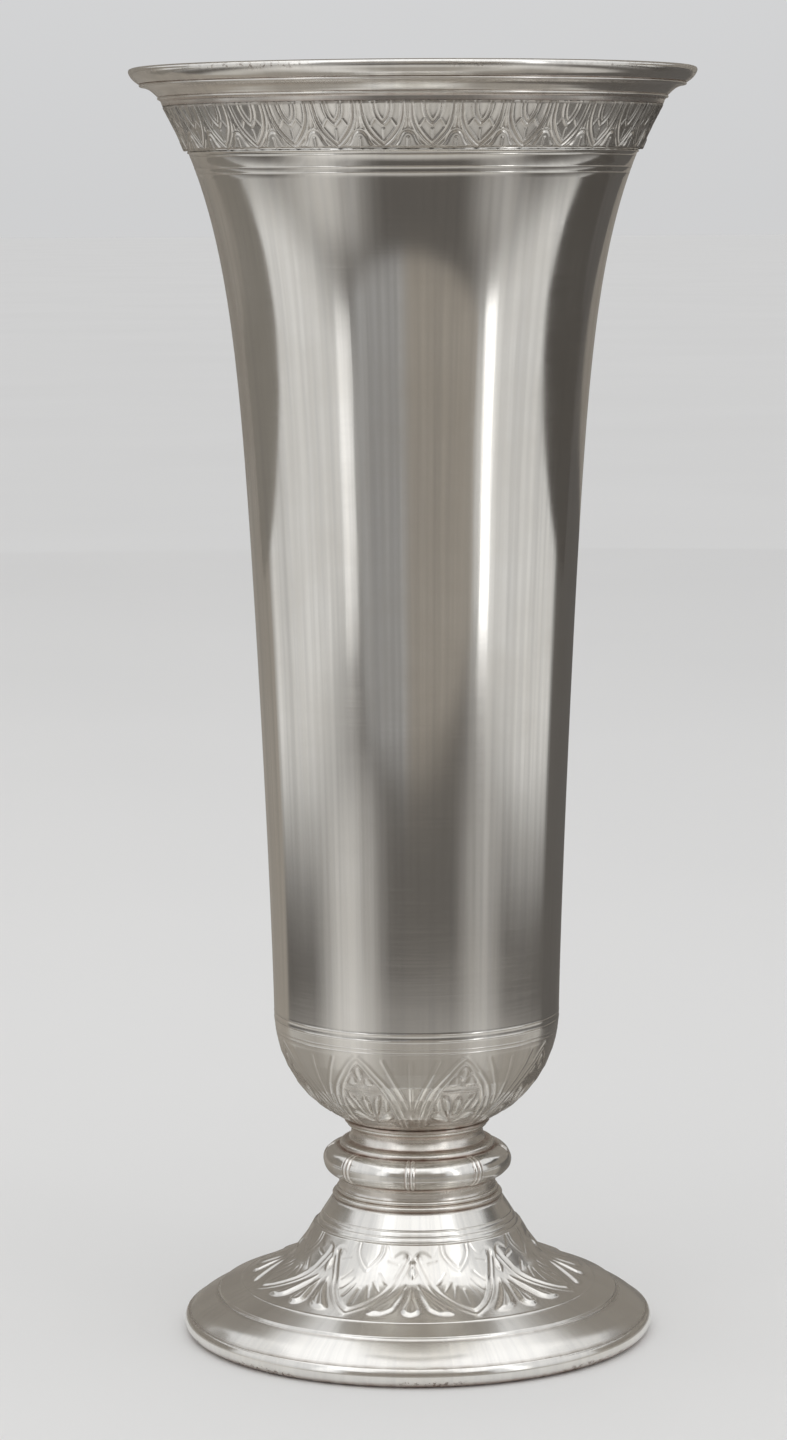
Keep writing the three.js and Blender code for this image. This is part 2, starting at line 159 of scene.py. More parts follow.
ARCH_OUTER = [
    (0.0, 0.0), (0.07, 0.06), (0.15, 0.155), (0.275, 0.325), (0.347, 0.485), (0.395, 0.68), (0.43, 0.98),
]
ARCH_INNER = [
    (0.0, 0.065), (0.045, 0.105), (0.1, 0.185), (0.205, 0.34), (0.275, 0.52), (0.322, 0.73), (0.352, 0.98),
]
BUD_MIDDLE = [(0.0, 0.1), (0.036, 0.14), (0.044, 0.19), (0.024, 0.24), (0.0, 0.27)]
BUD_SIDE = [(0.03, 0.29), (0.052, 0.225), (0.1, 0.225), (0.15, 0.3), (0.095, 0.32)]
TULIP_MIDDLE = [(0.0, 0.43), (0.04, 0.49), (0.045, 0.58), (0.028, 0.7), (0.0, 0.765)]
TULIP_SIDE = [
    (0.042, 0.73), (0.068, 0.57), (0.105, 0.46), (0.185, 0.42), (0.165, 0.54), (0.115, 0.68),
    (0.055, 0.785),
]
CURL_LEAF = [
    (0.02, 0.83), (0.11, 0.745), (0.2, 0.69), (0.285, 0.73), (0.225, 0.8), (0.12, 0.86), (0.03, 0.875),
]
SIDE_LEAF = [(0.175, 0.66), (0.19, 0.56), (0.225, 0.47), (0.258, 0.56), (0.235, 0.65)]
CUP_MOTIF = [
    (FIELD, 0.16, 0.5, ARCH_INNER, [(0.0, 0.98)]),
    (PAD, 0.32, 0.6, BUD_MIDDLE, []),
    (PAD, 0.32, 0.6, BUD_SIDE, []),
    (PAD, 0.55, 0.8, TULIP_MIDDLE, []),
    (PAD, 0.55, 0.8, TULIP_SIDE, []),
    (PAD, 0.38, 0.7, CURL_LEAF, []),
    (PAD, 0.34, 0.7, SIDE_LEAF, []),
    (RIDGE, 0.34, 0.46, ARCH_OUTER),
    (RIDGE, 0.34, 0.46, ARCH_INNER),
    (RIDGE, 0.3, 0.48, [(0.0, 0.375), (0.09, 0.385), (0.17, 0.385), (0.215, 0.365), (0.2, 0.335)]),
    (RIDGE, 0.28, 0.48, [(0.0, 0.93), (0.13, 0.915), (0.23, 0.93), (0.31, 0.97)]),
    (RIDGE, 0.16, 0.4, [(0.0, 0.27), (0.0, 0.42)]),
    (RIDGE, 0.24, 0.55, [(0.5, 0.05), (0.5, 0.6)]),
    (RIDGE, 0.28, 0.46, [(0.243, 0.03), (0.324, 0.22), (0.4, 0.4), (0.465, 0.6)]),
    (PAD, 0.25, 0.8, [(0.5, 0.62), (0.468, 0.78), (0.5, 0.94)], []),
]

FOOT_LEAF = [
    (0.468, 0.17), (0.445, 0.23), (0.37, 0.41), (0.277, 0.61), (0.15, 0.815), (0.06, 0.925), (0.0, 0.99),
]
FOOT_LINING = [(0.4, 0.2), (0.36, 0.26), (0.28, 0.45), (0.19, 0.64), (0.07, 0.835), (0.0, 0.895)]
FOOT_HOOD = [
    (0.5, 0.24), (0.468, 0.22), (0.43, 0.155), (0.385, 0.135), (0.33, 0.175), (0.275, 0.195), (0.225, 0.15),
    (0.18, 0.08), (0.155, 0.02),
]
FOOT_TONGUE = [(0.165, 0.0), (0.155, 0.12), (0.09, 0.23), (0.0, 0.325)]
LOTUS_BUD = [(0.5, 0.2), (0.466, 0.28), (0.456, 0.335), (0.5, 0.42)]
LOTUS_SIDE = [
    (0.43, 0.44), (0.345, 0.59), (0.25, 0.76), (0.18, 0.885), (0.16, 0.945), (0.2, 0.985), (0.29, 0.975),
    (0.365, 0.9), (0.398, 0.79), (0.43, 0.65), (0.45, 0.5),
]
LOTUS_MIDDLE = [
    (0.5, 0.46), (0.472, 0.58), (0.447, 0.7), (0.424, 0.81), (0.417, 0.885), (0.444, 0.96), (0.5, 1.0),
]
FOOT_MOTIF = [
    (PAD, 0.5, 2.5, FOOT_LEAF, [(0.0, 0.0), (0.478, 0.0)]),
    (PAD, 0.62, 1.6, FOOT_HOOD, [(0.155, 0.0), (0.5, 0.0)]),
    (PAD, 0.7, 1.2, FOOT_TONGUE, [(0.0, 0.0)]),
    (PAD, 0.6, 0.9, LOTUS_BUD, []),
    (PAD, 0.75, 2.0, LOTUS_SIDE, []),
    (PAD, 0.8, 1.8, LOTUS_MIDDLE, []),
    (RIDGE, 0.34, 0.54, FOOT_LEAF),
    (RIDGE, 0.13, 0.42, FOOT_LINING),
    (RIDGE, 0.22, 0.45, FOOT_TONGUE),
    (GROOVE, 0.26, 0.42, [(0.345, 0.235), (0.23, 0.2)]),
    (GROOVE, 0.26, 0.42, [(0.25, 0.47), (0.15, 0.34)]),
    (GROOVE, 0.26, 0.42, [(0.19, 0.6), (0.11, 0.435)]),
    (GROOVE, 0.26, 0.42, [(0.115, 0.715), (0.07, 0.495)]),
    (GROOVE, 0.26, 0.42, [(0.0, 0.825), (0.0, 0.565)]),
    (GROOVE, 0.18, 0.42, [(0.5, 0.62), (0.5, 0.9)]),
    (GROOVE, 0.2, 0.42, [(0.425, 0.53), (0.35, 0.72), (0.27, 0.92)]),
]

TIE_REED = 0.072  # spacing of the two reeds in a tie, as a share of the repeat
TIE_MOTIF = [
    (GROOVE, 0.12, 0.36, [(0.0, 0.0), (0.0, 1.0)]),
    (RIDGE, 0.22, 0.72, [(0.5 * TIE_REED, 0.0), (0.5 * TIE_REED, 1.0)]),
    (GROOVE, 0.12, 0.4, [(TIE_REED, 0.0), (TIE_REED, 1.0)]),
]

# Chased bands
# count is the number of repeats, columns and rows the cells of one, and soft the cells that blur it.
# plain is the columns that meet each one beside the band, and turn the degrees from the front to an axis.
FRIEZE_BAND = {
    "motif": LEAF_MOTIF, "count": 32, "columns": 48, "rows": 60, "plain": 8, "soft": 0, "turn": -4.25,
    "low": FRIEZE_BOTTOM, "high": FRIEZE_TOP,
}
CUP_BAND = {
    "motif": CUP_MOTIF, "count": 8, "columns": 104, "rows": 104, "plain": 4, "soft": 1, "turn": 22.5,
    "low": CUP_SEAT + 1.507, "high": BODY_BOTTOM - 4.693,
}
TIE_BAND = {"motif": TIE_MOTIF, "count": 8, "columns": 96, "rows": 26, "plain": 8, "soft": 0, "turn": -2.0}
FOOT_BAND = {
    "motif": FOOT_MOTIF, "count": 8, "columns": 112, "rows": 90, "plain": 4, "soft": 1, "turn": 22.5,
    "low": BELL_EDGE + 10.557, "high": BELL_TOP - 8.793,
}


# Outline helpers
def line(*points):
    return np.array(points, float)


def arc(r, z, radius_r, radius_z, start, end):
    """Points on an ellipse's arc round (r, z), between two angles in degrees."""
    steps = max(3, math.ceil(abs(end - start) / ARC_STEP))
    angles = np.radians(np.linspace(start, end, steps + 1))
    return np.stack([r + radius_r * np.cos(angles), z + radius_z * np.sin(angles)], 1)


def curve(*points):
    """A smooth line through a few points."""
    p = np.array(points, float)
    p = np.vstack([2 * p[0] - p[1], p, 2 * p[-1] - p[-2]])
    t = np.linspace(0, 1, CURVE_STEPS, endpoint=False)[:, None]
    spans = []
    for a, b, c, d in zip(p, p[1:], p[2:], p[3:]):
        square, cube = 2 * a - 5 * b + 4 * c - d, 3 * b - a - 3 * c + d
        spans.append(b + (t * (c - a) + t**2 * square + t**3 * cube) / 2)
    return np.vstack([*spans, p[-2:-1]])


def joined(*runs):
    """Runs end to end, with doubled points dropped."""
    points = np.vstack(runs)
    steps = np.hypot(*np.diff(points, axis=0).T)
    return points[np.append(True, steps > 1e-6)]


def eased(outline, radius=CORNER_RADIUS, least=25):
    """Rounds each corner of a closed outline that bends by at least so many degrees."""
    points = []
    for before, corner, after in zip(np.roll(outline, 1, 0), outline, np.roll(outline, -1, 0)):
        into, out = corner - before, after - corner
        lengths = np.hypot(*into), np.hypot(*out)
        bend = math.degrees(math.acos(np.clip(np.dot(into, out) / (lengths[0] * lengths[1]), -1, 1)))
        if bend < least:
            points.append(corner[None])
            continue
        reach = min(radius * math.tan(math.radians(min(bend, 150)) / 2), *(0.45 * x for x in lengths))
        start, end = corner - into / lengths[0] * reach, corner + out / lengths[1] * reach
        t = np.linspace(0, 1, 5)[:, None]
        points.append((1 - t) ** 2 * start + 2 * t * (1 - t) * corner + t**2 * end)
    return np.vstack(points)


def spread(outline, spacing, closed=True):
    """Splits the long steps of an outline."""
    ends = np.roll(outline, -1, 0) if closed else outline[1:]
    points = []
    for a, b in zip(outline, ends):
        count = max(1, math.ceil(np.hypot(*(b - a)) / spacing))
        points.append(a + np.linspace(0, 1, count, endpoint=False)[:, None] * (b - a))
    if not closed:
        points.append(outline[-1:])
    return np.vstack(points)


def lengths_along(run):
    return np.append(0, np.cumsum(np.hypot(*np.diff(run, axis=0).T)))


def outward(run):
    """Unit normals on the right-hand side of a run, which is the outside of an anticlockwise outline."""
    along = np.gradient(run, axis=0)
    along /= np.hypot(*along.T)[:, None]
    return np.stack([along[:, 1], -along[:, 0]], 1)


def beside(run, distance):
    """The run moved sideways, outwards where the distance is positive."""
    return run + distance * outward(run)


def bump(distance, half_width):
    """A rounded ridge, 1 on its line and 0 from half_width on."""
    share = np.clip(np.abs(distance) / half_width, 0, 1)
    return 0.5 + 0.5 * np.cos(np.pi * share)


# Chasing
def distance_to(points, x, y, repeat, depth):
    """Distance in mm from each point of a (y, x) grid to a line; repeat is a repeat's width on each row."""
    wide, tall = x[None, :] * repeat[:, None], (y * depth)[:, None]
    nearest = np.full(wide.shape, np.inf)
    for (ax, ay), (bx, by) in zip(points, points[1:]):
        start_x, step_x = ax * repeat[:, None], (bx - ax) * repeat[:, None]
        start_y, step_y = ay * depth, (by - ay) * depth
        square = np.maximum(step_x**2 + step_y**2, 1e-12)
        share = np.clip(((wide - start_x) * step_x + (tall - start_y) * step_y) / square, 0, 1)
        off_x, off_y = wide - start_x - share * step_x, tall - start_y - share * step_y
        nearest = np.minimum(nearest, np.hypot(off_x, off_y))
    return nearest


def inside(points, x, y):
    """True for the points of a (y, x) grid inside a closed line."""
    within = np.zeros((len(y), len(x)), bool)
    for (ax, ay), (bx, by) in zip(points, np.roll(points, -1, 0)):
        if ay == by:
            continue
        spans = (y >= ay) != (y >= by)
        crossing = ax + (y - ay) * (bx - ax) / (by - ay)
        within ^= spans[:, None] & (x[None, :] < crossing[:, None])
    return within


def motif_relief(motif, x, y, repeat, depth):
    """Heights in mm of a motif over a (y, x) grid of one repeat, and where its ground is matted, 0 to 1."""
    x = np.minimum(np.abs(x), 0.4999)
    pads, fields, ridges, grooves, matted = (np.zeros((len(y), len(x))) for _ in range(5))
    for kind, height, width, points, *back in motif:
        edge = curve(*points) if len(points) > 2 else np.array(points)
        away = distance_to(edge, x, y, repeat, depth)
        if kind == RIDGE:
            ridges = np.maximum(ridges, height * bump(away, width))
        elif kind == GROOVE:
            grooves = np.maximum(grooves, height * bump(away, width))
        else:
            closed = np.vstack([edge, *(np.array([p]) for p in back[0])])
            swell = (1 - bump(away, width)) * inside(closed, x, y)
            if kind == FIELD:
                fields = np.maximum(fields, height * swell)
                matted = np.maximum(matted, swell)
            else:
                pads = np.maximum(pads, height * swell)
                matted *= 1 - swell
    return pads + ridges - grooves - fields, matted


def blurred(field, reach):
    """Local mean over reach rows and columns each way; columns wrap round."""
    for axis, count in enumerate(reach):
        pads = [(0, 0), (0, 0)]
        pads[axis] = (count, count)
        wide = np.pad(field, pads, mode=("edge", "wrap")[axis])
        size = field.shape[axis]
        field = sum(np.take(wide, range(i, i + size), axis) for i in range(2 * count + 1)) / (2 * count + 1)
    return field


def smooth_relief(band, x, y, repeat, depth):
    """A motif's relief, as the mean over nine places in each cell of the grid, blurred as the band says."""
    thirds = np.array([-1, 0, 1]) / 3
    samples = [
        motif_relief(band["motif"], x + across / band["columns"], y + down / band["rows"], repeat, depth)
        for across in thirds for down in thirds
    ]
    relief, matted = np.mean(samples, 0)
    return blurred(relief, (band["soft"], band["soft"])), matted


# Rings of points, each with its cavity, dull and specks values for the materials
CAVITY_REACH = 0.7  # mm along an outline
CAVITY_DEPTH = 0.16  # mm below its surroundings that counts as a full crevice on an outline
RELIEF_REACH = 0.8  # mm each way in a chased band
RELIEF_DEPTH = 0.22  # mm below its surroundings that counts as a full crevice in a chased band
MATTED = 0.45  # tarnish on a matted ground
SEAM_REACH = 0.7  # mm of tarnish beside a soldered seam


def ring_angles(count, start=0.0):
    return np.radians(start) + np.arange(count) * 2 * np.pi / count


def run_cavity(run, seams):
    """How deep each point of a run lies in a crevice, 0 to 1; seams are the strengths at its two ends."""
    at = lengths_along(run)
    mean = np.zeros_like(run)
    shifts = np.linspace(-CAVITY_REACH, CAVITY_REACH, 7)
    for shift in shifts:
        mean += np.stack([np.interp(at + shift, at, run[:, i]) for i in (0, 1)], 1) / len(shifts)
    depth = np.sum((mean - run) * outward(run), 1)
    cavity = np.clip(depth / CAVITY_DEPTH, 0, 1)
    for strength, distance in zip(seams, (at, at[-1] - at)):
        cavity = np.maximum(cavity, strength * np.exp(-((distance / SEAM_REACH) ** 2)))
    return cavity


def beside_ends(run):
    """Tarnish near the lowest and highest points of a ring that is soldered above and below."""
    z = run[:, 1:]
    ends = np.minimum(z - z.min(), z.max() - z)
    return np.exp(-((ends / SEAM_REACH) ** 2))


def turn(run, angles, heights=0.0, cavity=0.0, dull=0.0, specks=0.0, seams=(0.0, 0.0)):
    """One ring of points for each point of a run, pushed out by heights."""
    shape = (len(run), len(angles))
    out = outward(run)
    heights = np.broadcast_to(heights, shape)
    r = run[:, :1] + out[:, :1] * heights
    z = run[:, 1:] + out[:, 1:] * heights
    depth = np.maximum(run_cavity(run, seams)[:, None], np.broadcast_to(cavity, shape))
    values = [r * np.sin(angles), -r * np.cos(angles), z, depth]
    values += [np.broadcast_to(np.reshape(v, (-1, 1)), shape) for v in (dull, specks)]
    return list(np.stack(values, 2))


def stations(run, spacing, threads=(), band=None):
    """A run with points close enough for its threads and band, the threads' heights and the band's y."""
    at = lengths_along(run)
    places = np.linspace(0, at[-1], math.ceil(at[-1] / spacing) + 1)
    centres = [np.interp(level, run[:, 1], at) for level, _, _ in threads]
    if band:
        low, high = (np.interp(band[end], run[:, 1], at) for end in ("low", "high"))
        places = places[(places < low - spacing / 3) | (places > high + spacing / 3)]
        places = np.append(places, np.linspace(low, high, band["rows"]))
    for centre, (_, _, half_width) in zip(centres, threads):
        places = places[np.abs(places - centre) > 1.2 * half_width]
        places = np.append(places, centre + half_width * np.linspace(-1, 1, 9))
    places = np.unique(np.clip(places, 0, at[-1]))
    places = places[np.append(True, np.diff(places) > 0.02)]
    heights = np.zeros(len(places))
    for centre, (_, height, half_width) in zip(centres, threads):
        heights += height * bump(places - centre, half_width)
    fine = np.stack([np.interp(places, at, run[:, i]) for i in (0, 1)], 1)
    across = (high - places) / (high - low) if band else None
    return fine, heights, across


def chased(run, spacing, threads, band, seams=(0.0, 0.0)):
    """Rings of a run that carries a chased band, and the angles of the points on the band."""
    fine, threads_up, across = stations(run, spacing, threads, band)
    x = np.arange(band["columns"]) / band["columns"] - 0.5
    repeat = fine[:, 0] * 2 * np.pi / band["count"]
    depth = abs(np.diff(np.interp([0, 1], across[::-1], lengths_along(fine)[::-1]))[0])
    on_band = (across >= -1e-6) & (across <= 1 + 1e-6)
    relief, cavity = np.zeros((2, len(fine), len(x)))
    relief[on_band], matted = smooth_relief(band, x, across[on_band], repeat[on_band], depth)
    cell = depth / band["rows"], repeat[on_band].mean() / len(x)
    reach = [max(1, round(RELIEF_REACH / step)) for step in cell]
    sunk = np.clip((blurred(relief[on_band], reach) - relief[on_band]) / RELIEF_DEPTH, 0, 1)
    cavity[on_band] = np.maximum(sunk, MATTED * matted)
    angles = ring_angles(band["count"] * band["columns"], band["turn"] - 180 / band["count"])
    heights = np.tile(relief, band["count"]) + threads_up[:, None]
    rings = turn(fine, angles, heights, np.tile(cavity, band["count"]), seams=seams)
    return [ring if on else ring[:: band["plain"]] for ring, on in zip(rings, on_band)], angles


# Meshes
def bridge(low, high):
    """Faces between two rings of point numbers; one may have a whole multiple of the other's points."""
    flipped = len(low) < len(high)
    fine, rough = (high, low) if flipped else (low, high)
    step, odd = divmod(len(fine), len(rough))
    assert not odd, "rings that don't share their angles"
    near = rough[(np.arange(len(fine)) + step // 2) // step % len(rough)]
    corners = np.stack([fine, np.roll(fine, -1), np.roll(near, -1), near], 1)
    faces = [tuple(dict.fromkeys(face)) for face in corners.tolist()]
    return [face[::-1] for face in faces] if flipped else faces


def mesh_piece(cad_node, points, faces, values, finish, sharp):
    """Makes the piece that stands for a CAD node, in a finish, with its material's values on its points."""
    slot, material = finish
    mesh = bpy.data.meshes.new(cad_node + "_mesh")
    mesh.from_pydata((points * MM).tolist(), [], faces)
    for name, column in values.items():
        mesh.attributes.new(name, "FLOAT", "POINT").data.foreach_set("value", column.astype(np.float32))
    mesh.shade_smooth()
    mesh.set_sharp_from_angle(angle=math.radians(sharp))
    mesh.materials.append(material)
    piece = bpy.data.objects.new("fine_" + cad_node, mesh)
    bpy.context.scene.collection.objects.link(piece)
    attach(piece, "root")
    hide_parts(cad_node)


def ring_piece(cad_node, rings, finish, sharp, closed=True):
    """Joins rings, each to the next, and the last to the first where the outline is closed."""
    counts = np.cumsum([0] + [len(r) for r in rings])
    numbers = [np.arange(a, b) for a, b in zip(counts, counts[1:])]
    pairs = list(zip(numbers, numbers[1:]))
    if closed:
        pairs.append((numbers[-1], numbers[0]))
    faces = [face for low, high in pairs for face in bridge(low, high)]
    table = np.vstack(rings)
    values = dict(zip(("cavity", "dull", "specks"), table[:, 3:].T))
    mesh_piece(cad_node, table[:, :3], faces, values, finish, sharp)


def pole(z, dull=0.0):
    """A ring of one point on the axis."""
    return np.array([[0.0, 0.0, z, 0.0, dull, 0.0]])


# Nodes of the materials
def fill(tree, made, sockets):
    """Gives each socket of a node a number, a colour or another node's output."""
    for name, value in sockets.items():
        if isinstance(value, bpy.types.NodeSocket):
            tree.links.new(value, made.inputs[name])
        else:
            made.inputs[name].default_value = value


def node(tree, kind, sockets=None, **settings):
    made = tree.nodes.new("ShaderNode" + kind)
    for name, value in settings.items():
        setattr(made, name, value)
    fill(tree, made, sockets or {})
    return made


def math_node(tree, operation, a, b=0.5, clamp=False):
    return node(tree, "Math", {0: a, 1: b}, operation=operation, use_clamp=clamp).outputs[0]


def product(tree, a, b):
    """Two shares multiplied, kept between 0 and 1."""
    return math_node(tree, "MULTIPLY", a, b, clamp=True)


def mix(tree, share, a, b):
    return node(tree, "MixRGB", {"Fac": share, "Color1": a, "Color2": b}).outputs[0]


def ranged(tree, value, low, high, to_low=0.0, to_high=1.0):
    sockets = {"Value": value, "From Min": low, "From Max": high, "To Min": to_low, "To Max": to_high}
    return node(tree, "MapRange", sockets).outputs[0]


def noise(tree, vector, scale, detail=2.0, roughness=0.5):
    sockets = {"Vector": vector, "Scale": scale, "Detail": detail, "Roughness": roughness}
    return node(tree, "TexNoise", sockets).outputs[0]


def bumped(tree, height, depth, strength=1.0, normal=None):
    """The normal of a surface with a bump of a depth in mm, over another normal where one is given."""
    sockets = {"Height": height, "Distance": depth * MM, "Strength": strength}
    if normal is not None:
        sockets["Normal"] = normal
    return node(tree, "Bump", sockets).outputs[0]


def attribute(tree, name):
    return node(tree, "Attribute", attribute_name=name).outputs["Fac"]


def new_material(name):
    material = bpy.data.materials.new(name)
    material.use_nodes = True
    tree = material.node_tree
    shader = tree.nodes["Principled BSDF"]
    place = node(tree, "TexCoord").outputs["Object"]
    return material, tree, shader, place


def round_place(tree, place, round_scale, up_scale):
    """Coordinates wrapped round the axis, for a noise that draws the lines left by turning and wiping."""
    apart = node(tree, "SeparateXYZ", {0: place})
    angle = math_node(tree, "ARCTAN2", apart.outputs[1], apart.outputs[0])
    across = node(tree, "VectorMath", {0: place}, operation="LENGTH").outputs["Value"]
    sockets = {
        0: math_node(tree, "MULTIPLY", angle, round_scale),
        1: math_node(tree, "MULTIPLY", across, up_scale),
        2: math_node(tree, "MULTIPLY", apart.outputs[2], up_scale),
    }
    return node(tree, "CombineXYZ", sockets).outputs[0]


WIPED_SILVER = (0.68, 0.67, 0.655, 1)
DULL_SILVER = (0.56, 0.5, 0.41, 1)
SPECK_BROWN = (0.17, 0.115, 0.085, 1)
TURNING_DEPTH = 0.0006  # mm
MACHINING_DEPTH = 0.02  # mm


def silver(name, bright, shaded, tarnish, roughness, wave, drag):
    """Old silver: cloudy tint, wiping streaks, turning lines, tarnished crevices, dull insides and specks.

    wave and drag are the depths in mm of its broad waviness and of its upright wiping marks.
    """
    material, tree, shader, place = new_material("worn_" + name)
    cloud = noise(tree, place, 26.0, 4.0, 0.6)
    fine_cloud = noise(tree, place, 190.0, 4.0, 0.65)
    blotch = noise(tree, place, 640.0, 3.0, 0.6)
    swell = noise(tree, place, 24.0, 1.0)
    turning = noise(tree, round_place(tree, place, 2.2, 1900.0), 1.0, 3.0)
    wiped = noise(tree, round_place(tree, place, 30.0, 6.0), 1.0, 4.0, 0.6)
    upright = noise(tree, round_place(tree, place, 40.0, 12.0), 1.0, 2.0)

    stain = product(tree, attribute(tree, "cavity"), ranged(tree, fine_cloud, 0.28, 0.68, 0.35, 1.0))
    patches = product(tree, ranged(tree, cloud, 0.44, 0.6), ranged(tree, blotch, 0.53, 0.62))
    speck = product(tree, attribute(tree, "specks"), patches)
    dull = product(tree, attribute(tree, "dull"), ranged(tree, fine_cloud, 0.25, 0.75, 0.6, 1.0))

    tint = mix(tree, ranged(tree, cloud, 0.35, 0.7, 0.0, 0.8), bright, shaded)
    tint = mix(tree, ranged(tree, wiped, 0.42, 0.7, 0.0, 0.4), tint, WIPED_SILVER)
    tint = mix(tree, product(tree, dull, 0.75), tint, DULL_SILVER)
    tint = mix(tree, product(tree, stain, 0.85), tint, tarnish)
    tint = mix(tree, product(tree, speck, 0.65), tint, SPECK_BROWN)

    rough = ranged(tree, cloud, 0.3, 0.75, roughness, roughness + 0.06)
    rough = math_node(tree, "ADD", rough, ranged(tree, turning, 0.35, 0.75, 0.0, 0.03))
    for wear, amount in ((stain, 0.22), (dull, 0.24), (speck, 0.35)):
        rough = math_node(tree, "ADD", rough, product(tree, wear, amount))

    normal = bumped(tree, swell, wave)
    normal = bumped(tree, upright, drag, normal=normal)
    normal = bumped(tree, turning, TURNING_DEPTH, 0.5, normal)
    fill(tree, shader, {"Base Color": tint, "Roughness": rough, "Metallic": 1.0, "Normal": normal})
    return name, material


def hardware(name, bright, shaded, roughness):
    """Plain turned metal with machining lines and a patchy, darkened skin."""
    material, tree, shader, place = new_material("worn_" + name)
    patch = noise(tree, place, 150.0, 5.0, 0.65)
    lines = noise(tree, round_place(tree, place, 1.5, 2600.0), 1.0, 2.0)
    tint = mix(tree, ranged(tree, patch, 0.35, 0.68), bright, shaded)
    tint = mix(tree, product(tree, attribute(tree, "cavity"), 0.8), tint, SPECK_BROWN)
    rough = ranged(tree, patch, 0.3, 0.7, roughness, roughness + 0.18)
    normal = bumped(tree, lines, MACHINING_DEPTH, 0.6)
    fill(tree, shader, {"Base Color": tint, "Roughness": rough, "Metallic": 1.0, "Normal": normal})
    return name, material


POLISHED = silver(
    "polished_silver", bright=(0.87, 0.855, 0.82, 1), shaded=(0.79, 0.765, 0.715, 1),
    tarnish=(0.2, 0.14, 0.09, 1), roughness=0.07, wave=0.15, drag=0.008,
)
BRIGHT = silver(
    "bright_silver", bright=(0.9, 0.885, 0.85, 1), shaded=(0.82, 0.79, 0.735, 1),
    tarnish=(0.27, 0.13, 0.075, 1), roughness=0.13, wave=0.05, drag=0.002,
)
CHASED = silver(
    "chased_silver", bright=(0.89, 0.875, 0.84, 1), shaded=(0.81, 0.785, 0.735, 1),
    tarnish=(0.2, 0.15, 0.105, 1), roughness=0.16, wave=0.05, drag=0.002,
)
BRASS = hardware("brass", bright=(0.66, 0.52, 0.27, 1), shaded=(0.42, 0.31, 0.14, 1), roughness=0.26)
STEEL = hardware("steel", bright=(0.55, 0.555, 0.565, 1), shaded=(0.36, 0.36, 0.36, 1), roughness=0.28)

# How dull the faces are that no cloth reaches, and how much darker, warmer and rougher the rings of the
# stem are, 0 to 1
THROAT_DULL = 0.85
WELL_DULL = 0.9
KNOP_DULL = 0.8
HOLLOW_DULL = 1.0
STEM_DULL = 0.35


# Pieces, from the mouth down
def body_radius(z):
    share = np.clip((z - BODY_BOTTOM) / (MOUTH - BODY_BOTTOM), 0, 1)
    return CUP_RADIUS + BODY_TAPER * share**BODY_TAPER_POWER + BODY_FLARE * share**BODY_FLARE_POWER


def body_run(low, high, spacing):
    z = np.linspace(low, high, math.ceil((high - low) / spacing) + 1)
    return np.stack([body_radius(z), z], 1)


def make_trumpet():
    wall = body_run(BODY_BOTTOM, MOUTH, spacing=1.0)
    outside, threads, _ = stations(wall, spacing=1.8, threads=BODY_THREADS)
    throat = beside(body_run(BODY_BOTTOM, MOUTH, spacing=4.0), -BODY_GAUGE)[::-1]
    throat[[0, -1], 1] = MOUTH, BODY_BOTTOM
    angles = ring_angles(COLUMNS)
    rings = turn(outside, angles, threads[:, None])
    rings += turn(throat, angles, dull=THROAT_DULL)
    ring_piece("trumpet_body", rings, POLISHED, SHARP_BODY)


FRIEZE_GROUND = 0.35  # mm of strip behind the chasing


def make_frieze():
    wall = body_run(FRIEZE_BOTTOM, FRIEZE_TOP, spacing=0.5)
    back = beside(wall, SOLDER_GAP)[::-1]
    face = beside(wall, SOLDER_GAP + FRIEZE_GROUND)
    face[[0, -1], 1] = back[[-1, 0], 1] = FRIEZE_BOTTOM, FRIEZE_TOP
    rings, angles = chased(face, spacing=1.0, threads=(), band=FRIEZE_BAND, seams=(0.8, 0.9))
    rings += turn(back[::6], angles[::COARSE])
    ring_piece("leaf_frieze", rings, CHASED, SHARP_CHASED)


RIM_BEAD = 0.42  # mm, radius of the two beads beside the cove
LIP_SPECKS = (5.0, 10.207, 1.6)  # mm out from the mouth, mm above the rim's foot, and half width


def make_rim():
    """The outline's points are offsets from the mouth's radius and the rim's foot."""
    seat = beside(body_run(RIM_BOTTOM, MOUTH, spacing=1.0), SOLDER_GAP)[::-1]
    widest = RIM_RADIUS - MOUTH_RADIUS
    fillet = line((-3.95, 0.0), (-3.4, 1.457), (-2.95, 1.907))
    lower_bead = arc(-2.75, 2.357, RIM_BEAD, RIM_BEAD, -80, 70)
    cove = curve((-2.4, 2.857), (-1.45, 3.757), (0.2, 5.057), (2.5, 5.957))
    upper_bead = arc(2.85, 6.307, RIM_BEAD, RIM_BEAD, -75, 75)
    groove = line((2.95, 6.807), (3.4, 6.907))
    lip = curve(
        (3.65, 6.857), (5.0, 7.907), (6.05, 9.207), (widest, 10.407), (6.25, 11.207), (5.2, 11.607),
    )
    top = curve(
        (5.2, 11.607), (3.7, 11.607), (1.1, 10.507), (-0.5, 9.007), (-BODY_GAUGE, MOUTH - RIM_BOTTOM),
    )
    outline = joined(fillet, lower_bead, cove, upper_bead, groove, lip, top)
    fine = spread(outline, spacing=0.3, closed=False)
    speck_from, speck_level, speck_width = LIP_SPECKS
    specks = bump(fine[:, 1] - speck_level, speck_width) * (fine[:, 0] > speck_from)
    angles = ring_angles(COLUMNS)
    rings = turn(fine + (MOUTH_RADIUS, RIM_BOTTOM), angles, specks=specks, seams=(0.6, 0.0))
    rings += turn(seat[:-1], angles)
    ring_piece("rim_moulding", rings, BRIGHT, SHARP_TURNED)


CUP_SEAT_RADIUS = 22.8
CUP_ARC = (-64, -4)  # degrees, from the seat to the lip
FLOOR_DISH = 0.15  # mm that the cup's floor falls to its middle


